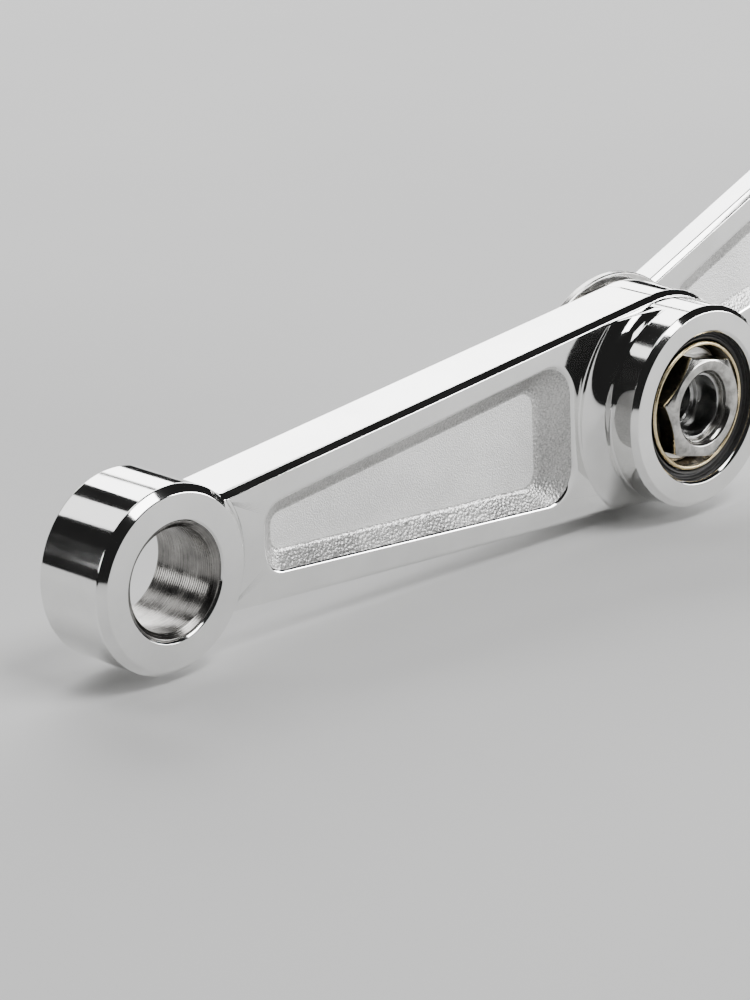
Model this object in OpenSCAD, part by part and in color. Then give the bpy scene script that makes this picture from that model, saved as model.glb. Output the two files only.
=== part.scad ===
// Two chromed connecting rods joined end to end on one hollow crankpin.
// The crankpin lies along Y and the origin is its middle, in its bore. +Z is up.
// The front rod's big end and the rear rod's small end share the crankpin. The front
// rod lies towards -X on the -Y side, and the rear rod rises towards +X on the +Y side.

/* [Rods] */
// Distance between the two bores of a rod
centre_distance = 150; // [130:1:200]
// Thickness of the front rod's arm
arm_t = 15; // [13:0.5:16]
// Thickness of the rear rod's arm
rear_arm_t = 7.5; // [6:0.5:8]
// Half height of the arm at the small end's axis
arm_half_small = 11.5; // [9:0.5:14]
// Half height of the arm at the big end's axis
arm_half_big = 24.3; // [24.2:0.1:25.5]
// Bevel along the long edges of the arm
edge_bevel = 1.1; // [0.5:0.1:1.5]
// Radius of the blend between the arm's edges and the small end
blend_r = 6; // [3:0.5:8]
// Slope of the rear rod above the floor, in degrees
rear_rise = 18; // [10:1:45]

/* [Pocket] */
// Gap from the small end's axis to the pocket
pocket_from_small = 27.5; // [25:0.5:35]
// Gap from the big end's axis to the pocket
pocket_from_big = 29.2; // [29:0.2:40]
// Width of the flat rim beside the pocket
pocket_rim = 4.7; // [3.5:0.1:6]
// Depth of the front rod's pockets
pocket_depth = 3; // [1:0.5:3.5]
// Depth of the rear rod's pockets
rear_pocket_depth = 1.8; // [1:0.1:2.2]
// Run of the sloping wall along the sides and at the small end
wall_run = 3.9; // [1:0.1:4.5]
// Run of the sloping wall at the big end
wall_run_big = 9; // [4:0.5:10]

/* [Small end] */
// Outer radius of the front rod's small end
small_r = 20; // [18:0.5:22]
// Outer radius of the rear rod's small end
rear_small_r = 17.5; // [17:0.5:20]
// Chamfer round the small end's faces
small_chamfer = 1.6; // [0.5:0.1:2]
// Height of the front rod's small end in front of its arm
small_proud = 3.5; // [3:0.1:5]
// Bore radius of the bush
bush_r = 11; // [8:0.5:11.5]
// Wall thickness of the bush
bush_wall = 1.5; // [1:0.25:2]

/* [Big end] */
// Radius of the raised hub
hub_r = 22.9; // [22.5:0.1:23]
// Chamfer round the hub's front face
hub_chamfer = 1.2; // [0.5:0.1:2]
// Height of the hub in front of the arm
hub_proud = 12; // [11.5:0.1:12.5]
// Radius of the cove between the hub and the arm's face
cove_r = 5.2; // [3:0.1:5.5]
// How much shorter the rear rod's hub and bearing are than the front rod's
rear_shorter = 9; // [8:0.5:10]

/* [Crankpin] */
// Radius of the crankpin
pin_r = 8; // [7.8:0.05:8]
// Radius of the hole through the crankpin
pin_bore_r = 5; // [3:0.5:5.5]
// Radius of the wider mouth of that hole in front
pin_mouth_r = 6.8; // [6:0.1:6.9]
// Width of the nut across its flats
nut_af = 22; // [21:0.5:22.5]
// Thickness of the nut
nut_t = 6; // [5.5:0.1:6.5]
// Number of needle rollers in each bearing
needle_count = 18; // [12:1:20]
// Radius of a needle roller
needle_r = 1.22; // [1.18:0.01:1.23]

/* [Hidden] */
$fn = 96;

// Levels are distances outwards from the plane midway between the rods
hub_back = 1;                                // the hub's inner face
arm_back = 2;                                // the arm's inner face
arm_front = arm_back + arm_t;
hub_front = arm_front + hub_proud;
rear_arm_front = arm_back + rear_arm_t;
small_back = hub_back;
small_front = arm_front + small_proud;
rear_small_front = rear_arm_front + 1.5;
rear_small_chamfer = small_chamfer / 2;

// The hub's stepped bore, outside to inside
seal_bore_r = 16.9;
seal_floor = hub_front - 5.5;
race_bore_r = 16;
race_floor = hub_back + 2;
lip_bore_r = 14.6;
bore_chamfer = 0.6;

// Needle bearing
race_in_r = 11;                              // outer radius of the inner race
race_out_r = 13.5;                           // inner radius of the outer race
pitch_r = (race_in_r + race_out_r) / 2;
race_end = race_floor + 17.3;
cage_low = race_floor + 0.9;
cage_high = race_end - 0.9;
cage_ring = 1.2;                             // width of the cage's end rings
cage_half = 0.65;                            // half the cage's wall thickness
window_play = 0.12;
race_lip = 0.7;

// The stack on the crankpin
centre_t = 1.9;
centre_r = 25.5;
inner_end = 20.5;
race_chamfer = 0.4;
cup_base = 1.5;
cup_r = 14.6;
cup_wall = 0.9;
cup_front = hub_front - 1.7;
washer_t = 1.5;
washer_r = 12.9;
washer_front = inner_end + cup_base + washer_t;
sleeve_r = bush_r - 0.03;                    // running fit in the rear rod's bush
sleeve_end = rear_small_front + 0.1;
end_washer_r = 15;
end_washer_t = 2;
rear_nut_drop = washer_front - sleeve_end - end_washer_t;
nut_front = washer_front + nut_t;
nut_corner_r = nut_af / 2 / cos(30);
nut_turn = 45;
pin_front = nut_front - 2.5;
pin_back = pin_front - rear_nut_drop;
pin_middle = (pin_front - pin_back) / 2;     // the crankpin's middle is the origin
pin_mouth_depth = 6;
pin_play = 0.02;
pin_chamfer = 0.8;

// The arm's edges touch the round of the big end
arm_slope = (arm_half_big - arm_half_small) / centre_distance;
arm_angle = atan(arm_slope);
big_r = arm_half_big * cos(arm_angle);

// The undersides of the front rod's two ends lie on one floor
front_slope = asin((big_r - small_r) / centre_distance);

// Half height of the arm at a distance x from the big end's axis
function half_at(x) = arm_half_big - arm_slope * x;

// A rod's own frame has the big end at the origin, the arm along +X and outwards along +Z
module place_front() {
    translate([0, pin_middle, 0]) rotate([0, 180 - front_slope, 0]) rotate([90, 0, 0]) children();
}

// The rear side of the crankpin, with outwards along +Y
module place_behind() {
    translate([0, pin_middle, 0]) mirror([0, 1, 0]) rotate([90, 0, 0]) children();
}

// The rear rod turned end for end, so that its small end is on the crankpin
module place_rear() {
    rotate([0, -rear_rise, 0]) place_behind()
        translate([centre_distance, 0, 0]) mirror([1, 0, 0]) children();
}

// A ring between two radii and two levels
module ring(r_in, r_out, low, high) {
    rotate_extrude() translate([r_in, low]) square([r_out - r_in, high - low]);
}

// Corner points of the arm's outline, moved in by an inset
function arm_outline(inset) = [
    [0, half_at(0) - inset], [0, inset - half_at(0)],
    [centre_distance, inset - half_at(centre_distance)],
    [centre_distance, half_at(centre_distance) - inset]];

module arm(front) {
    hull() {
        translate([0, 0, arm_back + edge_bevel])
            linear_extrude(front - arm_back - 2 * edge_bevel) polygon(arm_outline(0));
        translate([0, 0, arm_back])
            linear_extrude(front - arm_back) polygon(arm_outline(edge_bevel));
    }
}

// A concave blend between the small end and one of the arm's edges. The blend's circle
// touches the end's circle and a line at distance h from its centre.
module edge_blend(end_r, h, front) {
    across = sqrt(pow(end_r + blend_r, 2) - pow(h + blend_r, 2));
    touch = end_r / (end_r + blend_r);
    translate([0, 0, arm_back + edge_bevel])
        linear_extrude(front - arm_back - 2 * edge_bevel) difference() {
            polygon([[0, 0], [across, h - 2], [across, h + blend_r],
                     [across * touch, (h + blend_r) * touch]]);
            translate([across, h + blend_r]) circle(blend_r);
        }
}

module edge_blends(end_r, front) {
    for (side = [0, 1]) mirror([0, side, 0])
        translate([centre_distance, 0]) rotate(-arm_angle) mirror([1, 0, 0])
            edge_blend(end_r, arm_half_small * cos(arm_angle), front);
}

// The round of the big end with its raised hub, which ends at the level high
module big_end(front, high) {
    rotate_extrude() polygon([
        [0, hub_back], [hub_r - 1, hub_back], [hub_r, arm_back], [big_r - edge_bevel, arm_back],
        [big_r, arm_back + edge_bevel], [big_r, front - edge_bevel], [big_r - edge_bevel, front],
        [hub_r, front], [hub_r, high - hub_chamfer], [hub_r - hub_chamfer, high], [0, high]]);
}

// A cove from a round side of radius r down to the arm's face, within the arm's outline
module face_cove(r, size, front, inset, at) {
    intersection() {
        translate([at, 0, 0]) rotate_extrude() difference() {
            translate([r - 1, front - 1]) square([size + 1, size + 1]);
            translate([r + size, front + size]) circle(size);
        }
        translate([0, 0, arm_back]) linear_extrude(2 * arm_t) polygon(arm_outline(inset));
    }
}

// The small end's boss
module small_end(r, low, high, chamfer) {
    translate([centre_distance, 0, 0]) rotate_extrude() polygon([
        [0, low], [r - 1, low], [r, low + 1], [r, high - chamfer], [r - chamfer, high], [0, high]]);
}

// Outline of the pocket, inset by the run of its walls: a trapezoid with rounded corners
module pocket_outline(run, run_big, corner_small, corner_big) {
    x_big = pocket_from_big + run_big;
    x_small = centre_distance - pocket_from_small - run;
    edge = edge_bevel + pocket_rim + run;
    hull() for (side = [-1, 1]) {
        translate([x_big + corner_big, side * (half_at(x_big) - edge - corner_big)])
            circle(corner_big, $fn = 48);
        translate([x_small - corner_small, side * (half_at(x_small) - edge - corner_small)])
            circle(corner_small, $fn = 48);
    }
}

// The sunk panel in one face of the arm, with sloping walls
module pocket(front, depth) {
    skin = 0.02;
    hull() {
        translate([0, 0, front]) linear_extrude(skin) pocket_outline(0, 0, 5.5, 8);
        translate([0, 0, front - depth])
            linear_extrude(skin) pocket_outline(wall_run, wall_run_big, 3, 4);
    }
}

// The hub's bore: seal seat, snap ring groove, race seat and inner lip. A shorter hub
// has all but its inner end moved back by cut.
module hub_bore(cut) {
    high = hub_front - cut;
    floor_level = seal_floor - cut;
    groove = race_end - cut;
    rotate_extrude() polygon([
        [0, 0], [lip_bore_r, 0], [lip_bore_r, race_floor], [race_bore_r, race_floor],
        [race_bore_r, groove], [race_bore_r + 0.8, groove], [race_bore_r + 0.8, groove + 1.6],
        [race_bore_r, groove + 1.6], [race_bore_r, floor_level], [seal_bore_r, floor_level],
        [seal_bore_r, high - bore_chamfer], [seal_bore_r + bore_chamfer, high],
        [seal_bore_r + bore_chamfer, high + 1], [0, high + 1]]);
}

module small_bore(high) {
    r = bush_r + bush_wall;
    translate([centre_distance, 0, 0]) {
        translate([0, 0, small_back - 1]) cylinder(r = r, h = high - small_back + 2);
        translate([0, 0, high - 0.4]) cylinder(r1 = r, r2 = r + 0.5, h = 0.5);
        translate([0, 0, small_back - 0.1]) cylinder(r1 = r + 0.5, r2 = r, h = 0.5);
    }
}

// A rod from the level of its arm's face, its pockets' depth, its small end's sizes and
// how much its hub is cut short
module rod(front, depth, end_r, end_front, end_chamfer, cut) {
    color("gainsboro") difference() {
        union() {
            arm(front);
            edge_blends(end_r, front);
            big_end(front, hub_front - cut);
            face_cove(hub_r, cove_r, front, half_at(0) - hub_r + 0.05, 0);
            small_end(end_r, small_back, end_front, end_chamfer);
            face_cove(end_r, end_front - end_chamfer - front, front, edge_bevel, centre_distance);
        }
        pocket(front, depth);
        translate([0, 0, front + arm_back]) mirror([0, 0, 1]) pocket(front, depth);
        hub_bore(cut);
        small_bore(end_front);
    }
}

module front_rod() {
    rod(arm_front, pocket_depth, small_r, small_front, small_chamfer, 0);
}

module rear_rod() {
    rod(rear_arm_front, rear_pocket_depth, rear_small_r, rear_small_front, rear_small_chamfer,
        rear_shorter);
}

// Pressed bush in the small end, a little below both faces, with chamfered mouths
module bush(end_front) {
    low = small_back + 0.5;
    high = end_front - 0.5;
    mouth = 1.1;
    color("slategray") translate([centre_distance, 0, 0]) rotate_extrude() polygon([
        [bush_r, low + mouth], [bush_r + mouth, low], [bush_r + bush_wall, low],
        [bush_r + bush_wall, high], [bush_r + mouth, high], [bush_r, high - mouth]]);
}

// Drawn cup with a short lip at each end
module outer_race(cut) {
    lip_r = pitch_r + cage_half + 0.3;
    high = race_end - cut;
    color("darkgray") rotate_extrude() polygon([
        [lip_r, race_floor], [race_bore_r, race_floor], [race_bore_r, high], [lip_r, high],
        [lip_r, high - race_lip], [race_out_r, high - race_lip],
        [race_out_r, race_floor + race_lip], [lip_r, race_floor + race_lip]]);
}

// One long box per window cuts the bars out of a plain ring
module needle_cage(cut) {
    high = cage_high - cut;
    length = high - cage_low - 2 * cage_ring;
    color("peru") difference() {
        ring(pitch_r - cage_half, pitch_r + cage_half, cage_low, high);
        for (i = [0 : needle_count - 1]) rotate(i * 360 / needle_count)
            translate([pitch_r - 2, -needle_r - window_play, cage_low + cage_ring])
                cube([4, 2 * (needle_r + window_play), length]);
    }
}

module needles(cut) {
    low = cage_low + cage_ring + window_play;
    high = cage_high - cut - cage_ring - window_play;
    color("silver") for (i = [0 : needle_count - 1]) rotate(i * 360 / needle_count)
        translate([pitch_r, 0, low]) cylinder(r = needle_r, h = high - low, $fn = 24);
}

// Plain ring that the needles run on, chamfered at both ends of its bore
module inner_race(cut) {
    low = centre_t / 2;
    high = inner_end - cut;
    color("darkgray") rotate_extrude() polygon([
        [pin_r, low + race_chamfer], [pin_r + race_chamfer, low], [race_in_r, low],
        [race_in_r, high], [pin_r + race_chamfer, high], [pin_r, high - race_chamfer]]);
}

// Sleeve that carries the rear rod's bush on the crankpin
module sleeve() {
    color("darkgray") ring(pin_r, sleeve_r, centre_t / 2, sleeve_end);
}

// Internal snap ring with an open gap
module snap_ring(cut) {
    low = race_end + 0.1 - cut;
    high = race_end + 1.5 - cut;
    color("dimgray") difference() {
        ring(14.95, race_bore_r + 0.7, low, high);
        translate([0, -2, low - 1]) cube([20, 4, 4]);
    }
}

// Lip seal pressed into the hub, with a shallow groove in its face
module seal(cut) {
    low = seal_floor - cut;
    high = hub_front - 2 - cut;
    color("black") rotate_extrude() polygon([
        [14.95, low + 1.2], [15.6, low], [seal_bore_r, low], [seal_bore_r, high],
        [16.5, high], [16.2, high - 0.7], [15.8, high - 0.7], [15.5, high], [14.95, high - 0.4]]);
}

// Brass cup between inner race and washer. Its rim stands round the nut.
module thrust_cup() {
    color("goldenrod") rotate_extrude() polygon([
        [pin_r, inner_end], [cup_r, inner_end], [cup_r, cup_front - 0.3], [cup_r - 0.3, cup_front],
        [cup_r - cup_wall + 0.2, cup_front], [cup_r - cup_wall, cup_front - 0.2],
        [cup_r - cup_wall, inner_end + cup_base], [pin_r, inner_end + cup_base]]);
}

module washer() {
    color("silver") ring(pin_r, washer_r, washer_front - washer_t, washer_front);
}

// Washer that keeps the rear rod on the crankpin, with a chamfered rim
module end_washer() {
    high = sleeve_end + end_washer_t;
    color("silver") rotate_extrude() polygon([
        [pin_r, sleeve_end], [end_washer_r, sleeve_end], [end_washer_r, high - 0.6],
        [end_washer_r - 0.6, high], [pin_r, high]]);
}

// Low hexagon nut, its corners trimmed by a cone on both faces
module nut() {
    trim = 1.1;
    color("silver") rotate(nut_turn) difference() {
        intersection() {
            translate([0, 0, washer_front]) cylinder(r = nut_corner_r, h = nut_t, $fn = 6);
            rotate_extrude() polygon([
                [0, washer_front], [nut_af / 2 - 0.4, washer_front],
                [nut_corner_r + 0.1, washer_front + trim], [nut_corner_r + 0.1, nut_front - trim],
                [nut_af / 2 - 0.4, nut_front], [0, nut_front]]);
        }
        rotate_extrude() polygon([
            [0, washer_front - 1], [pin_r, washer_front - 1], [pin_r, nut_front - 0.7],
            [pin_r + 0.7, nut_front], [pin_r + 0.7, nut_front + 1], [0, nut_front + 1]]);
    }
}

// Hollow pin, chamfered at both ends, its hole wider in front
module crankpin() {
    r = pin_r - pin_play;
    step = pin_front - pin_mouth_depth;
    color("gray") rotate_extrude() polygon([
        [pin_bore_r, 0.5 - pin_back], [pin_bore_r + 0.5, -pin_back], [r - pin_chamfer, -pin_back],
        [r, pin_chamfer - pin_back], [r, pin_front - 0.5], [r - 0.5, pin_front],
        [pin_mouth_r + 0.2, pin_front], [pin_mouth_r, pin_front - 0.2], [pin_mouth_r, step],
        [pin_bore_r + 0.5, step], [pin_bore_r, step - 0.5]]);
}

// Wide thrust washer between the two rods
module centre_washer() {
    color("silver") rotate_extrude() polygon([
        [pin_r, -centre_t / 2], [centre_r - 0.3, -centre_t / 2], [centre_r, 0.3 - centre_t / 2],
        [centre_r, centre_t / 2 - 0.3], [centre_r - 0.3, centre_t / 2], [pin_r, centre_t / 2]]);
}

place_front() front_rod();
place_front() bush(small_front);  // front_bush
place_front() outer_race(0);  // front_outer_race
place_front() needle_cage(0);  // front_needle_cage
place_front() needles(0);  // front_needles
place_front() inner_race(0);  // front_inner_race
place_front() snap_ring(0);  // front_snap_ring
place_front() seal(0);  // front_seal
place_rear() rear_rod();
place_rear() bush(rear_small_front);  // rear_bush
place_rear() outer_race(rear_shorter);  // rear_outer_race
place_rear() needle_cage(rear_shorter);  // rear_needle_cage
place_rear() needles(rear_shorter);  // rear_needles
place_rear() inner_race(rear_shorter);  // rear_inner_race
place_rear() snap_ring(rear_shorter);  // rear_snap_ring
place_rear() seal(rear_shorter);  // rear_seal
place_front() crankpin();
place_front() centre_washer();
place_front() thrust_cup();  // front_thrust_cup
place_front() washer();  // front_washer
place_front() nut();  // front_nut
place_behind() sleeve();  // rear_sleeve
place_behind() end_washer();  // rear_washer
place_behind() translate([0, 0, -rear_nut_drop]) nut();  // rear_nut
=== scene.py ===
import math

import bmesh
import bpy
import numpy as np
from mathutils import Matrix, Vector


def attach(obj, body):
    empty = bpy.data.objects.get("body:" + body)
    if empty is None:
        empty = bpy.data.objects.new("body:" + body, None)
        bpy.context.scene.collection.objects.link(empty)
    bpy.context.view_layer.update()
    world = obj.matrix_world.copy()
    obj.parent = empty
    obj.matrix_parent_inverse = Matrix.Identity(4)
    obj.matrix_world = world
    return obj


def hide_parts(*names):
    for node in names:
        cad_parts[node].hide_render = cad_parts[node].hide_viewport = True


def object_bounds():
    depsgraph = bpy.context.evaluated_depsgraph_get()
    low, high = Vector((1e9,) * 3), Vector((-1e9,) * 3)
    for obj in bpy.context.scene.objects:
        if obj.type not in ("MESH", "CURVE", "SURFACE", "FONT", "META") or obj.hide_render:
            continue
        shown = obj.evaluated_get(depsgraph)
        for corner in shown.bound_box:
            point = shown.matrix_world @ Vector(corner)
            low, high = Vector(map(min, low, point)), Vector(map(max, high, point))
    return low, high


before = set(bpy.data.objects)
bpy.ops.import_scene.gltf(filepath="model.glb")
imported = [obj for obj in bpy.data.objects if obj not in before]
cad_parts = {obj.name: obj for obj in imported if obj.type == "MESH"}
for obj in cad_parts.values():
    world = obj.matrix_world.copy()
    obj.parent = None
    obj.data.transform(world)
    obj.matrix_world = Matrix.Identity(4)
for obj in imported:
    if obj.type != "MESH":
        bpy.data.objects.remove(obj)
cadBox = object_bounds()
print("frame loaded:", len(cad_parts), "CAD nodes")

mm = 0.001

# Levels are distances in mm outwards from the plane midway between the two rods
rod = dict(length=150.0, back=2.0, halfSmall=11.5, halfBig=24.3, bevel=1.1, blend=6.0, middle=5.2,
           insideBig=21.0, insideSmall=15.0)  # radii at which the arm ends inside the hub and boss
rod["taper"] = (rod["halfBig"] - rod["halfSmall"]) / rod["length"]
rod["tilt"] = math.atan(rod["taper"])
rod["bigR"] = rod["halfBig"] * math.cos(rod["tilt"])
frontRod = dict(side="front", cut=0.0, front=17.0, smallR=20.0, depth=3.0, bossFront=20.5, bossChamfer=1.6,
                slope=math.asin((rod["bigR"] - 20.0) / rod["length"]))
rearRod = dict(side="rear", cut=9.0, front=9.5, smallR=17.5, depth=1.8, bossFront=11.0, bossChamfer=0.8,
               rise=math.radians(18.0))

# places


def frontPlace(p):
    # a rod's own x, y and level, put along -X on the -Y side
    c, s = math.cos(frontRod["slope"]), math.sin(frontRod["slope"])
    x, y, z = p[..., 0], p[..., 1], p[..., 2]
    return np.stack([-x * c + y * s, rod["middle"] - z, -x * s - y * c], -1) * mm


def rearPlace(p):
    # the rear rod is turned end for end and climbs towards +X on the +Y side
    c, s = math.cos(rearRod["rise"]), math.sin(rearRod["rise"])
    x, y, z = rod["length"] - p[..., 0], p[..., 1], p[..., 2]
    return np.stack([x * c - y * s, rod["middle"] + z, x * s + y * c], -1) * mm


def behindPlace(p):
    # the rear side of the crankpin, outwards along +Y
    return np.stack([-p[..., 0], rod["middle"] + p[..., 2], p[..., 1]], -1) * mm


# surfaces

# points nearer than weld in metres are joined; flatWeight makes the large faces shade flat
surface = dict(weld=2e-7, thin=1e-8, flatWeight=90, mostOfSide=0.45)


def gridPiece(name, grid, place, closedRows=False, slots=None):
    # quads between neighbouring rows of a grid whose columns run right round;
    # the faces are turned outwards by the sign of the enclosed volume
    pts = place(np.asarray(grid, float))
    rows, cols = pts.shape[:2]
    flat = pts.reshape(-1, 3)
    i = np.arange(rows if closedRows else rows - 1)[:, None]
    j = np.arange(cols)[None, :]
    i2, j2 = (i + 1) % rows, (j + 1) % cols
    quads = np.stack([i * cols + j, i * cols + j2, i2 * cols + j2, i2 * cols + j], -1)
    quads = quads.reshape(-1, 4)
    a, b, c, d = (flat[quads[:, k]] for k in range(4))
    volume = np.einsum("ij,ij->i", a, np.cross(b, c)).sum()
    volume += np.einsum("ij,ij->i", a, np.cross(c, d)).sum()
    if volume < 0:
        quads = quads[:, ::-1]
    mesh = bpy.data.meshes.new(name)
    mesh.vertices.add(len(flat))
    mesh.vertices.foreach_set("co", flat.ravel())
    mesh.loops.add(quads.size)
    mesh.loops.foreach_set("vertex_index", quads.ravel().astype(np.int32))
    mesh.polygons.add(len(quads))
    mesh.polygons.foreach_set("loop_start", np.arange(0, quads.size, 4, dtype=np.int32))
    if slots is not None:
        index = np.repeat(np.asarray(slots, np.int32), cols)
        mesh.polygons.foreach_set("material_index", index)
    mesh.update(calc_edges=True)
    bm = bmesh.new()
    bm.from_mesh(mesh)
    bmesh.ops.remove_doubles(bm, verts=bm.verts, dist=surface["weld"])
    bmesh.ops.dissolve_degenerate(bm, dist=surface["thin"], edges=bm.edges)
    bm.to_mesh(mesh)
    bm.free()
    mesh.polygons.foreach_set("use_smooth", np.ones(len(mesh.polygons), bool))
    mesh.update()
    piece = bpy.data.objects.new(name, mesh)
    bpy.context.scene.collection.objects.link(piece)
    weighted = piece.modifiers.new("flatFaces", "WEIGHTED_NORMAL")
    weighted.weight = surface["flatWeight"]
    weighted.keep_sharp = False
    return piece


def roundedLoop(corners, steps=4):
    # each corner (radius, level, rounding) becomes a short curve: a quadratic
    # blend from a point before the corner, through it, to a point after it. It takes no
    # more than a set share of either side
    c = np.asarray(corners, float)
    p, r = c[:, :2], c[:, 2:3]
    before, after = np.roll(p, 1, 0) - p, np.roll(p, -1, 0) - p
    lb = np.linalg.norm(before, axis=1, keepdims=True)
    la = np.linalg.norm(after, axis=1, keepdims=True)
    start = p + before / lb * np.minimum(r, surface["mostOfSide"] * lb)
    end = p + after / la * np.minimum(r, surface["mostOfSide"] * la)
    t = np.linspace(0, 1, steps + 1)[None, :, None]
    curve = start[:, None] * (1 - t) ** 2 + p[:, None] * 2 * t * (1 - t) + end[:, None] * t ** 2
    return curve.reshape(-1, 2)


def turned(name, corners, place, centre=(0.0, 0.0), around=160, steps=4):
    # a closed profile of radius and level carried once round an axis
    loop = roundedLoop(corners, steps)
    keep = np.linalg.norm(loop - np.roll(loop, 1, 0), axis=1) > 1e-6
    loop = loop[keep]
    a = np.linspace(0, 2 * math.pi, around, endpoint=False)
    r, z = loop[:, 0][:, None], loop[:, 1][:, None]
    grid = np.stack([centre[0] + r * np.cos(a), centre[1] + r * np.sin(a),
                     z + 0 * a[None, :]], -1)
    return gridPiece(name, grid, place, closedRows=True)


# materials


def newMaterial(name):
    # an empty metal-ready material with the object's own coordinates
    mat = bpy.data.materials.new(name)
    mat.use_nodes = True
    nodes, links = mat.node_tree.nodes, mat.node_tree.links
    nodes.clear()
    out = nodes.new("ShaderNodeOutputMaterial")
    shader = nodes.new("ShaderNodeBsdfPrincipled")
    links.new(shader.outputs["BSDF"], out.inputs["Surface"])
    coord = nodes.new("ShaderNodeTexCoord")
    return mat, nodes, links, shader, coord.outputs["Object"]


def mapped(nodes, links, source, scale=(1, 1, 1), turn=(0, 0, 0), move=(0, 0, 0)):
    mapping = nodes.new("ShaderNodeMapping")
    mapping.inputs["Scale"].default_value = scale
    mapping.inputs["Rotation"].default_value = turn
    mapping.inputs["Location"].default_value = move
    links.new(source, mapping.inputs["Vector"])
    return mapping.outputs["Vector"]


def noise(nodes, links, source, scale, detail=4.0, rough=0.55):
    field = nodes.new("ShaderNodeTexNoise")
    field.inputs["Scale"].default_value = scale
    field.inputs["Detail"].default_value = detail
    field.inputs["Roughness"].default_value = rough
    links.new(source, field.inputs["Vector"])
    return field.outputs["Fac"]


def spread(nodes, links, source, low, high, fromLow=0.3, fromHigh=0.7):
    # a straight line from one range of numbers to another
    remap = nodes.new("ShaderNodeMapRange")
    remap.inputs["From Min"].default_value = fromLow
    remap.inputs["From Max"].default_value = fromHigh
    remap.inputs["To Min"].default_value = low
    remap.inputs["To Max"].default_value = high
    links.new(source, remap.inputs["Value"])
    return remap.outputs["Result"]


def ramp(nodes, links, source, stops):
    # colours blended between stops of (position, colour)
    colours = nodes.new("ShaderNodeValToRGB")
    ends = colours.color_ramp.elements
    ends[0].position, ends[0].color = stops[0][0], (*stops[0][1], 1)
    ends[1].position, ends[1].color = stops[-1][0], (*stops[-1][1], 1)
    for at, colour in stops[1:-1]:
        ends.new(at).color = (*colour, 1)
    links.new(source, colours.inputs["Fac"])
    return colours.outputs["Color"]


def combine(nodes, links, kind, first, second, third=None):
    # a math node; a plain number is set on its socket, anything else is linked
    node = nodes.new("ShaderNodeMath")
    node.operation = kind
    for socket, value in zip(node.inputs, (first, second, third)):
        if isinstance(value, (int, float)):
            socket.default_value = value
        elif value is not None:
            links.new(value, socket)
    return node.outputs["Value"]


def bumped(nodes, links, shader, layers):
    # layers of (height, strength, distance in metres), one on top of the other
    last = None
    for height, strength, distance in layers:
        bump = nodes.new("ShaderNodeBump")
        bump.inputs["Strength"].default_value = strength
        bump.inputs["Distance"].default_value = distance
        links.new(height, bump.inputs["Height"])
        if last is not None:
            links.new(last, bump.inputs["Normal"])
        last = bump.outputs["Normal"]
    links.new(last, shader.inputs["Normal"])


def axisDistance(nodes, links, source, at):
    # distance from a line along Y through the point at
    moved = mapped(nodes, links, source, move=(-at[0], 0, -at[1]))
    across = nodes.new("ShaderNodeVectorMath")
    across.operation = "MULTIPLY"
    across.inputs[1].default_value = (1, 0, 1)
    links.new(moved, across.inputs[0])
    length = nodes.new("ShaderNodeVectorMath")
    length.operation = "LENGTH"
    links.new(across.outputs["Vector"], length.inputs[0])
    return length.outputs["Value"]


def lineTexture(nodes, links, value, lines):
    # fine lines along one number: noise read on that number alone
    along = nodes.new("ShaderNodeCombineXYZ")
    links.new(value, along.inputs["X"])
    return noise(nodes, links, along.outputs["Vector"], lines, 3.0, 0.7)


chrome = dict(light=(0.93, 0.93, 0.92), dull=(0.80, 0.80, 0.79), roughLow=0.035, roughHigh=0.11)


def chromePlate():
    # bright plate with faint clouds, wiping marks along the rods and a slight ripple
    mat, nodes, links, shader, at = newMaterial("chromePlate")
    clouds = noise(nodes, links, at, 38, 5, 0.6)
    links.new(ramp(nodes, links, clouds, [(0.3, chrome["dull"]), (0.62, chrome["light"])]),
              shader.inputs["Base Color"])
    wipe = noise(nodes, links, mapped(nodes, links, at, (60, 60, 900), (0, 0.06, 0)), 1.0, 6, 0.7)
    both = combine(nodes, links, "MULTIPLY", clouds, wipe)
    rough = spread(nodes, links, both, chrome["roughLow"], chrome["roughHigh"], 0.12, 0.42)
    links.new(rough, shader.inputs["Roughness"])
    shader.inputs["Metallic"].default_value = 1.0
    ripple = noise(nodes, links, at, 420, 2, 0.5)
    bumped(nodes, links, shader, [(ripple, 0.10, 0.00003), (wipe, 0.05, 0.00002)])
    return mat


# one blasted plate in two colours: the walls' darker colour is painted shade in the pocket, and the
# floor's paler colour is painted light
wallBlastShaded = dict(light=(0.66, 0.655, 0.645), dark=(0.27, 0.27, 0.27), roughLow=0.30, roughHigh=0.44,
                 grain=2600, dents=1500, depth=0.8)
floorBlastLit = dict(light=(0.90, 0.895, 0.885), dark=(0.66, 0.66, 0.655), roughLow=0.40, roughHigh=0.54,
                  grain=5200, dents=3000, depth=0.45)


def blastedPlate(name, blast):
    # satin left by blasting: coarse sparkle on the walls, finer on the floor
    mat, nodes, links, shader, at = newMaterial(name)
    patch = noise(nodes, links, at, 60, 4, 0.6)
    grain = noise(nodes, links, at, blast["grain"], 3, 0.65)
    less = combine(nodes, links, "MULTIPLY", patch, 0.3)
    mix = combine(nodes, links, "MULTIPLY_ADD", grain, 0.72, less)
    links.new(ramp(nodes, links, mix, [(0.36, blast["dark"]), (0.6, blast["light"])]),
              shader.inputs["Base Color"])
    rough = spread(nodes, links, patch, blast["roughLow"], blast["roughHigh"])
    links.new(rough, shader.inputs["Roughness"])
    shader.inputs["Metallic"].default_value = 1.0
    dents = nodes.new("ShaderNodeTexVoronoi")
    dents.inputs["Scale"].default_value = blast["dents"]
    links.new(at, dents.inputs["Vector"])
    bumped(nodes, links, shader, [(dents.outputs["Distance"], blast["depth"], 0.00012),
                                  (grain, 0.35, 0.00006)])
    return mat


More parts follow.
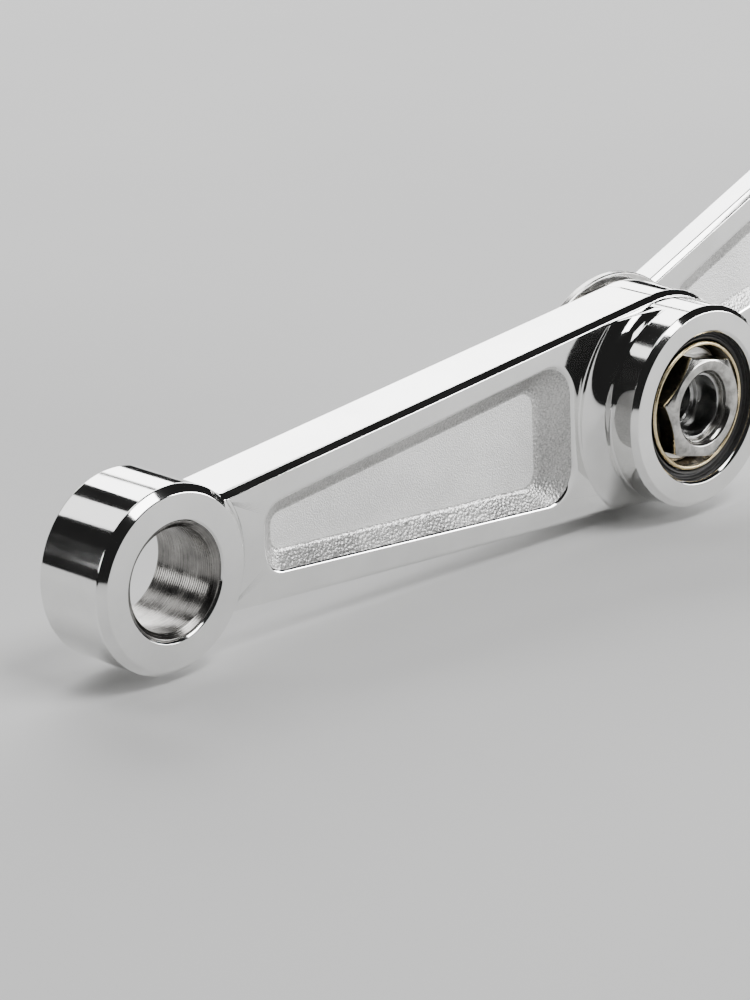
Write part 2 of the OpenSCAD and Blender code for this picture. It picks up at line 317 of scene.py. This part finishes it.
def turnedMetal(name, centre, light, dark, roughLow, roughHigh, lines, strength=0.35, tint=None):
    # metal cut on a lathe: fine rings by distance from the axis and by level along it
    mat, nodes, links, shader, at = newMaterial(name)
    ringLines = lineTexture(nodes, links, axisDistance(nodes, links, at, centre), lines)
    xyz = nodes.new("ShaderNodeSeparateXYZ")
    links.new(at, xyz.inputs["Vector"])
    levelLines = lineTexture(nodes, links, xyz.outputs["Y"], lines)
    cut = combine(nodes, links, "MULTIPLY", ringLines, levelLines)
    blotch = noise(nodes, links, at, 240, 4, 0.6)
    mix = combine(nodes, links, "MULTIPLY_ADD", blotch, 0.5, cut)
    stops = [(0.36, dark), (0.62, light)]
    if tint is not None:
        stops = [(0.30, tint), (0.42, dark), (0.62, light)]
    links.new(ramp(nodes, links, mix, stops), shader.inputs["Base Color"])
    rough = spread(nodes, links, mix, roughLow, roughHigh, 0.35, 0.65)
    links.new(rough, shader.inputs["Roughness"])
    shader.inputs["Metallic"].default_value = 1.0
    bumped(nodes, links, shader, [(cut, strength, 0.00005), (blotch, 0.08, 0.00004)])
    return mat


def zincMetal(name, light, dark, roughLow, roughHigh):
    # plated steel with a soft mottle and small handling marks
    mat, nodes, links, shader, at = newMaterial(name)
    mottle = noise(nodes, links, at, 420, 5, 0.65)
    links.new(ramp(nodes, links, mottle, [(0.34, dark), (0.64, light)]), shader.inputs["Base Color"])
    links.new(spread(nodes, links, mottle, roughHigh, roughLow), shader.inputs["Roughness"])
    shader.inputs["Metallic"].default_value = 1.0
    scratch = noise(nodes, links, mapped(nodes, links, at, (300, 1, 2600), (0.2, 0.5, 0.1)), 1.0, 5, 0.7)
    bumped(nodes, links, shader, [(mottle, 0.22, 0.00006), (scratch, 0.18, 0.00004)])
    return mat


sealLook = dict(light=(0.032, 0.031, 0.030), dark=(0.010, 0.010, 0.011), roughLow=0.42, roughHigh=0.62)


def sealRubber():
    mat, nodes, links, shader, at = newMaterial("sealRubber")
    skin = noise(nodes, links, at, 1500, 4, 0.6)
    links.new(ramp(nodes, links, skin, [(0.3, sealLook["dark"]), (0.7, sealLook["light"])]),
              shader.inputs["Base Color"])
    rough = spread(nodes, links, skin, sealLook["roughLow"], sealLook["roughHigh"])
    links.new(rough, shader.inputs["Roughness"])
    bumped(nodes, links, shader, [(skin, 0.4, 0.00008)])
    return mat


floorLook = dict(light=(0.76, 0.76, 0.755), dark=(0.70, 0.70, 0.70), rough=0.75, gloss=0.2)


def paleFloor():
    mat, nodes, links, shader, at = newMaterial("paleFloor")
    cloud = noise(nodes, links, at, 3, 4, 0.5)
    links.new(ramp(nodes, links, cloud, [(0.3, floorLook["dark"]), (0.7, floorLook["light"])]),
              shader.inputs["Base Color"])
    shader.inputs["Roughness"].default_value = floorLook["rough"]
    shader.inputs["Specular IOR Level"].default_value = floorLook["gloss"]
    return mat


def onSlope(distance, angle):
    # x and z in metres of a point on a line from the crankpin, rising by an angle
    return distance * math.cos(angle) * mm, distance * math.sin(angle) * mm


farCentre = onSlope(rod["length"], rearRod["rise"])
smallCentre = onSlope(-rod["length"], frontRod["slope"])
pinCentre = (0.0, 0.0)

bushLook = dict(light=(0.36, 0.35, 0.335), dark=(0.10, 0.098, 0.095), roughLow=0.16, roughHigh=0.32,
                lines=2400)
raceLook = dict(light=(0.66, 0.66, 0.66), dark=(0.42, 0.42, 0.43), roughLow=0.10, roughHigh=0.22,
                lines=5200, strength=0.2)
brassLook = dict(light=(0.86, 0.76, 0.50), dark=(0.62, 0.48, 0.26), tint=(0.40, 0.27, 0.13),
                 roughLow=0.16, roughHigh=0.34, lines=3200)
pinLook = dict(light=(0.60, 0.60, 0.59), dark=(0.28, 0.28, 0.28), roughLow=0.14, roughHigh=0.30,
               lines=3600)
washerLook = dict(light=(0.74, 0.73, 0.71), dark=(0.46, 0.45, 0.44), roughLow=0.16, roughHigh=0.30,
                  lines=2600)
nutLook = dict(light=(0.62, 0.61, 0.585), dark=(0.30, 0.295, 0.285), roughLow=0.10, roughHigh=0.24)
# dark brown brass: painted shade for the thrust cup's recessed faces
cupRecessShadeLook = dict(light=(0.20, 0.165, 0.11), dark=(0.045, 0.037, 0.026), roughLow=0.22, roughHigh=0.40)
cageLook = dict(light=(0.56, 0.50, 0.42), dark=(0.32, 0.27, 0.22), roughLow=0.26, roughHigh=0.42)
springLook = dict(light=(0.26, 0.26, 0.27), dark=(0.10, 0.10, 0.11), roughLow=0.30, roughHigh=0.48)
rollerLook = dict(light=(0.78, 0.78, 0.78), dark=(0.58, 0.58, 0.58), roughLow=0.08, roughHigh=0.18)

chromeMat = chromePlate()
# pocket walls carry painted shade, pocket floor carries painted light
wallShadedMat = blastedPlate("blastedWallPaintedShade", wallBlastShaded)
floorLitMat = blastedPlate("blastedFloorPaintedLight", floorBlastLit)
frontBushMat = turnedMetal("bushSteelFront", smallCentre, **bushLook)
rearBushMat = turnedMetal("bushSteelRear", pinCentre, **bushLook)
frontRaceMat = turnedMetal("raceSteelFront", pinCentre, **raceLook)
farRaceMat = turnedMetal("raceSteelFar", farCentre, **raceLook)
brassMat = turnedMetal("turnedBrass", pinCentre, **brassLook)
pinMat = turnedMetal("pinSteel", pinCentre, **pinLook)
washerMat = turnedMetal("washerSteel", pinCentre, **washerLook)
nutMat = zincMetal("nutZinc", **nutLook)
cupRecessShadeMat = zincMetal("brassPaintedShade", **cupRecessShadeLook)
cageMat = zincMetal("cageSteel", **cageLook)
springMat = zincMetal("springSteel", **springLook)
rollerMat = zincMetal("rollerSteel", **rollerLook)
rubberMat = sealRubber()
print("materials made")

# rods

pocket = dict(fromSmall=27.5, fromBig=29.2, rim=4.7, run=3.9, runBig=9.0,
              cornerSmall=(5.5, 3.0), cornerBig=(8.0, 4.0), spine=(52.0, 112.0))
bush = dict(r=11.0, wall=1.5, low=1.5, mouth=1.1, groovePitch=0.62, groove=0.03)
# points along each stretch of the arm's outline
armSteps = dict(hub=34, spoke=8, edge=90, blend=14, boss=20)


def halfAt(x):
    return rod["halfBig"] - rod["taper"] * x


def arc(cx, cy, r, a0, a1, count):
    a = np.linspace(a0, a1, count)
    return np.stack([cx + r * np.cos(a), cy + r * np.sin(a)], -1)


def lineOf(a, b, count):
    t = np.linspace(0, 1, count)[:, None]
    return np.asarray(a) * (1 - t) + np.asarray(b) * t


def armHalf(spec, inset):
    # upper half of the arm's outline moved in by an inset: round inside the hub, out to the
    # big end's rim where the straight edge touches it, along the edge, round a hollow
    # blend to the small end's circle, and round inside the small end. The blend keeps its
    # centre, and its radius grows by the inset
    tilt, reach = rod["tilt"], rod["length"]
    touch = math.pi / 2 - tilt
    h = rod["halfSmall"] * math.cos(tilt)
    across = math.sqrt((spec["smallR"] + rod["blend"]) ** 2 - (h + rod["blend"]) ** 2)
    turn = np.array([[math.cos(tilt), math.sin(tilt)], [-math.sin(tilt), math.cos(tilt)]])
    middle = turn @ np.array([-across, h + rod["blend"]]) + np.array([reach, 0])
    leave = math.atan2(h + rod["blend"], across) + tilt
    out = math.pi - leave
    inner, rim = rod["insideBig"], rod["bigR"] - inset
    innerSmall, rimSmall = rod["insideSmall"], spec["smallR"] - inset
    toBig = np.array([math.cos(touch), math.sin(touch)])
    toSmall = np.array([math.cos(out), math.sin(out)])
    end = np.array([reach, 0])
    blend = arc(middle[0], middle[1], rod["blend"] + inset, 1.5 * math.pi - tilt, 2 * math.pi - leave,
                armSteps["blend"])
    spoke = armSteps["spoke"]
    parts = [arc(0, 0, inner, 0.0, touch, armSteps["hub"]), lineOf(inner * toBig, rim * toBig, spoke)[1:]]
    first = sum(len(p) for p in parts)
    parts.append(lineOf(rim * toBig, blend[0], armSteps["edge"])[1:])
    second = first + len(parts[-1])
    parts += [blend[1:], lineOf(end + rimSmall * toSmall, end + innerSmall * toSmall, spoke)[1:],
              arc(reach, 0, innerSmall, out, math.pi, armSteps["boss"])[1:]]
    return np.concatenate(parts), first, second


def pocketHalf(t, counts):
    # upper half of the pocket's outline; t is 0 at the rim and 1 at the wall's foot
    run, runBig = pocket["run"] * t, pocket["runBig"] * t
    cbig = pocket["cornerBig"][0] + (pocket["cornerBig"][1] - pocket["cornerBig"][0]) * t
    csm = pocket["cornerSmall"][0] + (pocket["cornerSmall"][1] - pocket["cornerSmall"][0]) * t
    xb = pocket["fromBig"] + runBig
    xs = rod["length"] - pocket["fromSmall"] - run
    edge = rod["bevel"] + pocket["rim"] + run
    b = np.array([xb + cbig, halfAt(xb) - edge - cbig])
    s = np.array([xs - csm, halfAt(xs) - edge - csm])
    # the straight side touches both corner circles
    d = s - b
    lean = math.atan2(d[1], d[0]) + math.asin((cbig - csm) / math.hypot(*d))
    up = lean + math.pi / 2
    n1, n2, n3, n4, n5 = counts
    parts = [lineOf((xb, 0), (xb, b[1]), n1),
             arc(b[0], b[1], cbig, math.pi, up, n2 + 1)[1:]]
    sideEnd = s + csm * np.array([math.cos(up), math.sin(up)])
    parts.append(lineOf(parts[-1][-1], sideEnd, n3 + 1)[1:])
    parts.append(arc(s[0], s[1], csm, up, 0.0, n4 + 1)[1:])
    parts.append(lineOf((xs, s[1]), (xs, 0), n5 + 1)[1:])
    return np.concatenate(parts)


def wholeLoop(half):
    # the upper half and its mirror image, as one closed loop
    lower = half[::-1][1:-1] * np.array([1.0, -1.0])
    return np.concatenate([half, lower])


def armGrid(spec):
    # rows run from one pocket's floor, up its wall, over the rim, round the edge and
    # down into the other pocket; every row has the same number of points
    half, first, second = armHalf(spec, 0.0)
    total = len(half)
    n1 = first // 2
    n4 = (total - second) // 2
    counts = (n1, first - n1, second - first, n4, total - second - n4)
    top, mid = spec["front"], (spec["front"] + rod["back"]) / 2
    bevel, deep = rod["bevel"], spec["depth"] / 3.0

    def level(loop, z):
        return np.concatenate([loop, np.full((len(loop), 1), z)], 1)

    # outline rows as (inset, drop below the face)
    edgeRows = [(0.0, 2.6), (0.0, bevel + 0.22), (0.035, bevel + 0.05), (0.16, bevel - 0.16),
                (bevel - 0.16, 0.16), (bevel + 0.05, 0.035), (bevel + 0.22, 0.0)]
    # pocket rows as (share of the wall's run, drop below the face in a pocket 3 mm deep)
    wallRows = [(-0.10, 0.0), (-0.03, 0.03), (0.04, 0.13), (0.10, 0.33), (0.5, 1.5), (0.88, 2.62),
                (0.96, 2.84), (1.04, 2.96), (1.14, 3.0)]
    up = [level(wholeLoop(armHalf(spec, i)[0]), top - d) for i, d in edgeRows]
    wall = [level(wholeLoop(pocketHalf(t, counts)), top - d * deep) for t, d in wallRows]
    foot = wall[-1]
    centreLine = foot.copy()
    centreLine[:, 0] = np.clip(centreLine[:, 0], *pocket["spine"])
    centreLine[:, 1] = 0.0
    side = up + wall + [foot * 0.5 + centreLine * 0.5, centreLine]
    mirrored = [np.stack([r[:, 0], r[:, 1], 2 * mid - r[:, 2]], -1) for r in side][::-1]
    # the pocket's walls and floor have finishes of their own: coarser and finer grain, with painted shade
    # in the walls' darker colour and painted light in the floor's paler colour
    floorRows, wallGaps = [2] * 2, [0] * 3 + [1] * (len(wall) - 4)
    slots = floorRows + wallGaps[::-1] + [0] * (2 * len(up) + 1) + wallGaps + floorRows
    return np.stack(mirrored + side), slots


hub = dict(r=22.9, front=29.0, back=1.0, chamfer=1.2, cove=5.2)
boss = dict(back=1.0, backRound=2.0, mouth=0.4)
bore = dict(lip=14.6, race=16.0, raceFloor=3.0, raceEnd=20.3, groove=0.8, grooveWidth=1.6, sealFloor=23.5,
            seal=16.9, chamfer=0.6)


def bigEndCorners(spec):
    e, r, top = rod["bevel"], rod["bigR"], spec["front"]
    high, raceEnd = hub["front"] - spec["cut"], bore["raceEnd"] - spec["cut"]
    sealFloor, grooveEnd = bore["sealFloor"] - spec["cut"], raceEnd + bore["grooveWidth"]
    return [(bore["lip"], hub["back"], 0.3), (hub["r"] - 1, hub["back"], 0.15),
            (hub["r"], rod["back"], 0.08), (r - e, rod["back"], 0.08), (r, rod["back"] + e, 0.2),
            (r, top - e, 0.2), (r - e, top, 0.08), (hub["r"], top, 0.05),
            (hub["r"], high - hub["chamfer"], 0.2),
            (hub["r"] - hub["chamfer"], high, 0.15), (bore["seal"] + bore["chamfer"], high, 0.1),
            (bore["seal"], high - bore["chamfer"], 0.1), (bore["seal"], sealFloor, 0.1),
            (bore["race"], sealFloor, 0.15), (bore["race"], grooveEnd, 0.1),
            (bore["race"] + bore["groove"], grooveEnd, 0.1),
            (bore["race"] + bore["groove"], raceEnd, 0.1), (bore["race"], raceEnd, 0.1),
            (bore["race"], bore["raceFloor"], 0.1), (bore["lip"], bore["raceFloor"], 0.1)]


def smallEndCorners(spec):
    r, high, c, hole = spec["smallR"], spec["bossFront"], spec["bossChamfer"], bush["r"] + bush["wall"]
    low, m = boss["back"], boss["mouth"]
    return [(hole, low + m, 0.15), (hole + m, low, 0.1), (r - 1, low, 0.2), (r, boss["backRound"], 0.2),
            (r, high - c, 0.28), (r - c, high, 0.22), (hole + m, high, 0.1), (hole, high - m, 0.1)]


# a cove's points around and down; its ends are hidden inside the rod by these depths
coveSteps = dict(around=97, down=12, crowding=1.6, inside=0.4, under=0.3)


def faceCove(r, size, top, inset, at, way):
    # a hollow quarter round from a round side down to the arm's face. Its height at a
    # distance d from the axis is size less the root of size squared less (r + size - d)
    # squared; along the arm's edges it stops at a line inside the outline
    reach = halfAt(at) - inset
    steep = math.hypot(1.0, rod["taper"])
    last = math.asin(min(1.0, reach / (r * steep))) - way * rod["tilt"]
    turn = np.linspace(-last, last, coveSteps["around"])
    across = np.abs(np.sin(turn)) + way * rod["taper"] * np.cos(turn)
    edge = np.where(across > 1e-3, reach / np.maximum(across, 1e-3), 1e3)
    edge = np.clip(edge, r + 0.001, r + size)
    t = np.linspace(0, 1, coveSteps["down"])[None, :]
    d = r + (edge[:, None] - r) * t ** coveSteps["crowding"]
    z = top + size - np.sqrt(np.maximum(size ** 2 - (r + size - d) ** 2, 0))
    one = np.ones((len(turn), 1))
    inside, under = (r - coveSteps["inside"]) * one, (top - coveSteps["under"]) * one
    d = np.concatenate([d, edge[:, None], inside, inside], 1)
    z = np.concatenate([z, under, under, (top + size) * one], 1)
    grid = np.stack([at + way * d * np.cos(turn)[:, None], d * np.sin(turn)[:, None], z], -1)
    caps = [np.repeat(g.mean(0)[None], grid.shape[1], 0)[None] for g in (grid[0], grid[-1])]
    return np.concatenate([caps[0], grid, caps[1]])


def makeRod(spec, place):
    side, top = spec["side"], spec["front"]
    grid, slots = armGrid(spec)
    hubCove = faceCove(hub["r"], hub["cove"], top, halfAt(0) - hub["r"] + 0.05, 0.0, 1)
    rise = spec["bossFront"] - spec["bossChamfer"] - top
    bossCove = faceCove(spec["smallR"], rise, top, rod["bevel"], rod["length"], -1)
    made = [gridPiece(side + "Arm", grid, place, slots=slots),
            turned(side + "BigEnd", bigEndCorners(spec), place, around=256),
            turned(side + "SmallEnd", smallEndCorners(spec), place, (rod["length"], 0.0), around=224),
            gridPiece(side + "HubCove", hubCove, place),
            gridPiece(side + "BossCove", bossCove, place)]
    for piece in made:
        piece.data.materials.append(chromeMat)
        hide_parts(side + "_rod")
        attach(piece, side + "_rod")
    # slot 1 is the walls' painted shade, slot 2 the floor's painted light
    made[0].data.materials.append(wallShadedMat)
    made[0].data.materials.append(floorLitMat)


makeRod(frontRod, frontPlace)
makeRod(rearRod, rearPlace)
print("rods made")

# round parts


def addTurned(name, node, corners, where, body, mat, centre=(0.0, 0.0), around=160, steps=4):
    piece = turned(name, corners, where, centre, around, steps)
    piece.data.materials.append(mat)
    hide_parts(node)
    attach(piece, body)
    return piece


def bushCorners(spec):
    # the bore carries shallow turning grooves between its two mouths
    r, m, high = bush["r"], bush["mouth"], spec["bossFront"] - 0.5
    z = np.arange(high - m - 0.2, bush["low"] + m + 0.2, -bush["groovePitch"] / 2)
    deep = bush["groove"] * (np.arange(len(z)) % 2)
    return ([(r + m, bush["low"], 0.1), (r + bush["wall"], bush["low"], 0.05),
             (r + bush["wall"], high, 0.05), (r + m, high, 0.1), (r, high - m, 0.12)]
            + [(r + d, k, 0.1) for d, k in zip(deep, z)] + [(r, bush["low"] + m, 0.12)])


for spec, where, mat in ((frontRod, frontPlace, frontBushMat), (rearRod, rearPlace, rearBushMat)):
    side = spec["side"]
    addTurned(side + "Bush", side + "_bush", bushCorners(spec), where, side + "_rod", mat,
              (rod["length"], 0.0), 144, 2)

# the stack on the crankpin: levels of its faces, radii and thicknesses
stack = dict(pinR=8.0, innerEnd=20.5, cupBase=1.5, washerR=12.9, washer=1.5, centreR=25.5, centre=1.9,
             sleeveR=10.97, sleeveEnd=11.1, endR=15.0, endWasher=2.0)
stack["washerLow"] = stack["innerEnd"] + stack["cupBase"]
stack["nutLow"] = stack["washerLow"] + stack["washer"]
stack["rearNutLow"] = stack["sleeveEnd"] + stack["endWasher"]
race = dict(lipR=13.2, outR=16.0, inR=13.5, floor=3.0, end=20.3, lip=0.7, innerR=11.0, chamfer=0.4)
seal = dict(lip=14.95, r=16.9, low=23.5, high=27.0, foot=15.6, grooveR=16.0, groove=0.7)


def outerCorners(cut):
    end = race["end"] - cut
    return [(race["lipR"], race["floor"], 0.1), (race["outR"], race["floor"], 0.35),
            (race["outR"], end, 0.3), (race["lipR"], end, 0.1), (race["lipR"], end - race["lip"], 0.1),
            (race["inR"], end - race["lip"], 0.1), (race["inR"], race["floor"] + race["lip"], 0.1),
            (race["lipR"], race["floor"] + race["lip"], 0.1)]


def innerCorners(cut):
    low, end, r, c = stack["centre"] / 2, stack["innerEnd"] - cut, stack["pinR"], race["chamfer"]
    return [(r, low + c, 0.1), (r + c, low, 0.1), (race["innerR"], low, 0.3), (race["innerR"], end, 0.3),
            (r + c, end, 0.1), (r, end - c, 0.1)]


def sealCorners(cut):
    # a shallow groove runs round the outer face
    r, low, high, middle = seal["r"], seal["low"] - cut, seal["high"] - cut, seal["grooveR"]
    sunk = high - seal["groove"]
    return [(seal["lip"], low + 1.2, 0.2), (seal["foot"], low, 0.15), (r - 0.3, low, 0.1),
            (r, low + 0.3, 0.1), (r, high - 0.3, 0.1), (r - 0.3, high, 0.1), (middle + 0.5, high, 0.1),
            (middle + 0.2, sunk, 0.15), (middle - 0.2, sunk, 0.15), (middle - 0.5, high, 0.15),
            (seal["lip"], high - 0.4, 0.2)]


for spec, where, mat in ((frontRod, frontPlace, frontRaceMat), (rearRod, rearPlace, farRaceMat)):
    side, cut = spec["side"], spec["cut"]
    addTurned(side + "OuterRace", side + "_outer_race", outerCorners(cut), where, side + "_rod",
              mat)
    addTurned(side + "InnerRace", side + "_inner_race", innerCorners(cut), where,
              "crankpin" if side == "front" else "rear_race", mat)
    addTurned(side + "Seal", side + "_seal", sealCorners(cut), where, side + "_rod",
              rubberMat)

cup = dict(r=14.6, wall=0.9, front=27.3, band=0.9)


def cupCorners():
    r, low, front, inner = cup["r"], stack["innerEnd"], cup["front"], cup["r"] - cup["wall"]
    return [(stack["pinR"], low, 0.1), (r - 0.5, low, 0.3), (r, low + 0.5, 0.3), (r, front - 0.3, 0.12),
            (r - 0.3, front, 0.12), (inner + 0.2, front, 0.1), (inner, front - 0.2, 0.1),
            (inner, stack["washerLow"], 0.4), (stack["pinR"], stack["washerLow"], 0.1)]


cupPiece = addTurned("thrustCup", "front_thrust_cup", cupCorners(), frontPlace, "crankpin",
                     brassMat)
cupPiece.data.materials.append(cupRecessShadeMat)
# all but the rim's own band takes the darker colour, painted shade where the cup sits down in the hub's
# recess
centres = np.zeros(3 * len(cupPiece.data.polygons))
cupPiece.data.polygons.foreach_get("center", centres)
centres = centres.reshape(-1, 3) / mm
shadedPart = rod["middle"] - centres[:, 1] < cup["front"] - cup["band"]
cupPiece.data.polygons.foreach_set("material_index", shadedPart.astype(np.int32))


def ringCorners(inR, outR, low, high, lowRound, highRound):
    # a plain ring, with a rounding for each of its outer corners
    return [(inR, low, 0.1), (outR, low, lowRound), (outR, high, highRound), (inR, high, 0.1)]


def endWasherCorners():
    low, high, r = stack["sleeveEnd"], stack["rearNutLow"], stack["endR"]
    return [(stack["pinR"], low, 0.1), (r, low, 0.25), (r, high - 0.6, 0.15), (r - 0.6, high, 0.15),
            (stack["pinR"], high, 0.1)]


def centreCorners():
    half, r = stack["centre"] / 2, stack["centreR"]
    return [(stack["pinR"], -half, 0.1), (r - 0.3, -half, 0.1), (r, 0.3 - half, 0.1),
            (r, half - 0.3, 0.1), (r - 0.3, half, 0.1), (stack["pinR"], half, 0.1)]


washerCorners = ringCorners(stack["pinR"], stack["washerR"], stack["washerLow"], stack["nutLow"],
                            0.2, 0.35)
sleeveCorners = ringCorners(stack["pinR"], stack["sleeveR"], stack["centre"] / 2, stack["sleeveEnd"],
                            0.3, 0.3)
addTurned("frontWasher", "front_washer", washerCorners, frontPlace, "crankpin", washerMat)
addTurned("rearWasher", "rear_washer", endWasherCorners(), behindPlace, "crankpin", washerMat)
addTurned("rearSleeve", "rear_sleeve", sleeveCorners, behindPlace, "crankpin", frontRaceMat)
addTurned("centreWasher", "centre_washer", centreCorners(), frontPlace, "crankpin", washerMat)

pin = dict(r=7.98, bore=5.0, mouthR=6.8, front=27.0, step=21.0, back=-16.6, chamfer=0.8, mouth=0.5)


def pinCorners():
    r, hole, m, c = pin["r"], pin["bore"], pin["mouth"], pin["chamfer"]
    back, front, wide, step = pin["back"], pin["front"], pin["mouthR"], pin["step"]
    return [(hole, back + m, 0.1), (hole + m, back, 0.1), (r - c, back, 0.15), (r, back + c, 0.15),
            (r, front - 0.5, 0.1), (r - 0.5, front, 0.1), (wide + 0.2, front, 0.05),
            (wide, front - 0.2, 0.05), (wide, step, 0.2), (hole + m, step, 0.1), (hole, step - m, 0.1)]


addTurned("crankpinTube", "crankpin", pinCorners(), frontPlace, "crankpin", pinMat)
print("round parts made")

# nuts

nut = dict(af=22.0, thick=6.0, trim=1.1, bore=8.0, mouth=0.7, pitch=1.5, thread=0.42, blunt=0.12,
           faceIn=0.4, wallIn=1.9, frontTurn=45.0, rearTurn=15.0)


def nutGrid(turn, low):
    # six flats: the radius at an angle is half the width across flats divided by the
    # cosine of the angle from the nearest flat's middle; cones trim both faces
    a = np.linspace(0, 2 * math.pi, 288, endpoint=False)
    off = (np.degrees(a) - turn) % 60.0 - 30.0
    hexR = nut["af"] / 2 / np.cos(np.radians(off))
    cornerR = nut["af"] / 2 / math.cos(math.radians(30))
    hexR = np.minimum(hexR, cornerR - nut["blunt"])
    flat = nut["af"] / 2 - nut["faceIn"]
    slope = nut["trim"] / (cornerR + 0.1 - flat)

    def row(r, z):
        # one ring of points; the radius and the level may each vary round it
        return np.stack([r * np.cos(a), r * np.sin(a), z + 0 * a], -1)

    def face(z, way):
        # from the rim inwards, the cone's drop grows with the radius
        out = []
        for share, sink in ((1.0, 0.16), (0.985, 0.03), (0.96, 0.0), (0.7, 0.0), (0.4, 0.0), (0.15, 0.0)):
            r = flat + (hexR - flat) * share
            out.append(row(r, z - way * ((r - flat) * slope + sink)))
        out += [row(flat + 0.03, z - way * 0.02), row(flat - 0.15, z)]
        return out

    high, holeR, mouthR = low + nut["thick"], nut["bore"], nut["bore"] + nut["mouth"]
    walls = [row(hexR, low + nut["wallIn"]), row(hexR, (high + low) / 2), row(hexR, high - nut["wallIn"])]
    # the thread is a train of shallow V rings in the bore
    z = np.arange(high - nut["mouth"] - 0.1, low + 0.3, -nut["pitch"] / 2)
    thread = [row(holeR - nut["thread"] * (k % 2) * 0.5, v) for k, v in enumerate(z)]
    mouth = [row(mouthR + 0.15, high), row(mouthR, high - 0.05)]
    return np.stack(face(low, -1.0)[::-1] + walls + face(high, 1.0) + mouth + thread
                    + [row(holeR, low + 0.05), row(holeR + 0.1, low)])


nuts = (("frontNut", "front_nut", frontPlace, nut["frontTurn"], stack["nutLow"]),
        ("rearNut", "rear_nut", behindPlace, nut["rearTurn"], stack["rearNutLow"]))
for name, node, where, turn, low in nuts:
    piece = gridPiece(name, nutGrid(turn, low), where, closedRows=True)
    piece.data.materials.append(nutMat)
    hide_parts(node)
    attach(piece, "crankpin")
print("nuts made")

# kept CAD nodes

keptLooks = {"front_needle_cage": cageMat, "rear_needle_cage": cageMat,
             "front_needles": rollerMat, "rear_needles": rollerMat,
             "front_snap_ring": springMat, "rear_snap_ring": springMat}
for node, mat in keptLooks.items():
    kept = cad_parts[node]
    kept.data.materials.clear()
    kept.data.materials.append(mat)
print("kept nodes painted")

# floor, light, camera

ground = dict(gap=0.0002, half=6.0)
floorZ, half = cadBox[0][2] - ground["gap"], ground["half"]
floorMesh = bpy.data.meshes.new("floor")
floorCorners = [(-half, -half, floorZ), (half, -half, floorZ), (half, half, floorZ), (-half, half, floorZ)]
floorMesh.from_pydata(floorCorners, [], [(0, 1, 2, 3)])
floor = bpy.data.objects.new("floor", floorMesh)
bpy.context.scene.collection.objects.link(floor)
floor.data.materials.append(paleFloor())

# each lamp's place and the point it faces in metres, its width and height, and its watts
lamps = dict(backLight=((1.05, 1.25, 0.62), (0, 0, 0.05), 1.9, 0.55, 22),
             highBackLight=((0.75, 1.25, 1.25), (0, 0, 0), 1.0, 0.55, 11),
             leftBackLight=((-0.45, 1.15, 1.05), (0, 0, 0), 0.5, 0.42, 1.6),
             topLight=((-0.25, 0.55, 1.35), (0, 0, 0), 0.5, 0.6, 4),
             leftLight=((-1.2, 0.75, 0.42), (-0.05, 0, 0), 0.45, 0.4, 3.5),
             frontLight=((0.1, -0.8, 1.5), (0.05, -0.1, 0), 0.9, 0.6, 17),
             sideLight=((1.1, -0.95, 0.30), (0, 0, 0.02), 0.8, 0.42, 18))


def softBox(name, at, aim, width, height, power):
    data = bpy.data.lights.new(name, "AREA")
    data.shape = "RECTANGLE"
    data.size, data.size_y = width, height
    data.energy = power
    lamp = bpy.data.objects.new(name, data)
    lamp.location = at
    lamp.rotation_euler = (Vector(aim) - Vector(at)).to_track_quat("-Z", "Y").to_euler()
    bpy.context.scene.collection.objects.link(lamp)


for name, values in lamps.items():
    softBox(name, *values)

# the studio is dark in the polished faces, and plain pale grey where it is seen directly
studio = dict(dark=0.018, pale=0.56)
world = bpy.data.worlds.new("studio")
bpy.context.scene.world = world
world.use_nodes = True
sky = world.node_tree
seen = sky.nodes.new("ShaderNodeLightPath")
grey = spread(sky.nodes, sky.links, seen.outputs["Is Camera Ray"], studio["dark"], studio["pale"],
              0.0, 1.0)
sky.links.new(grey, sky.nodes["Background"].inputs["Color"])
sky.nodes["Background"].inputs["Strength"].default_value = 1.0

camera = dict(at=(-0.68556, -0.62134, 0.27962), right=(0.71180, -0.70220, -0.01629),
              ahead=(0.66310, 0.67944, -0.31411), lens=154.05, sensor=36.0, near=0.01, far=50)
camData = bpy.data.cameras.new("camera")
camData.sensor_width = camera["sensor"]
camData.lens = camera["lens"]
camData.clip_start = camera["near"]
camData.clip_end = camera["far"]
cam = bpy.data.objects.new("camera", camData)
right = Vector(camera["right"]).normalized()
back = -Vector(camera["ahead"]).normalized()
up = back.cross(right)
place = Vector(camera["at"])
cam.matrix_world = Matrix(((right.x, up.x, back.x, place.x), (right.y, up.y, back.y, place.y),
                           (right.z, up.z, back.z, place.z), (0, 0, 0, 1)))
bpy.context.scene.collection.objects.link(cam)
bpy.context.scene.camera = cam
print("stage ready")
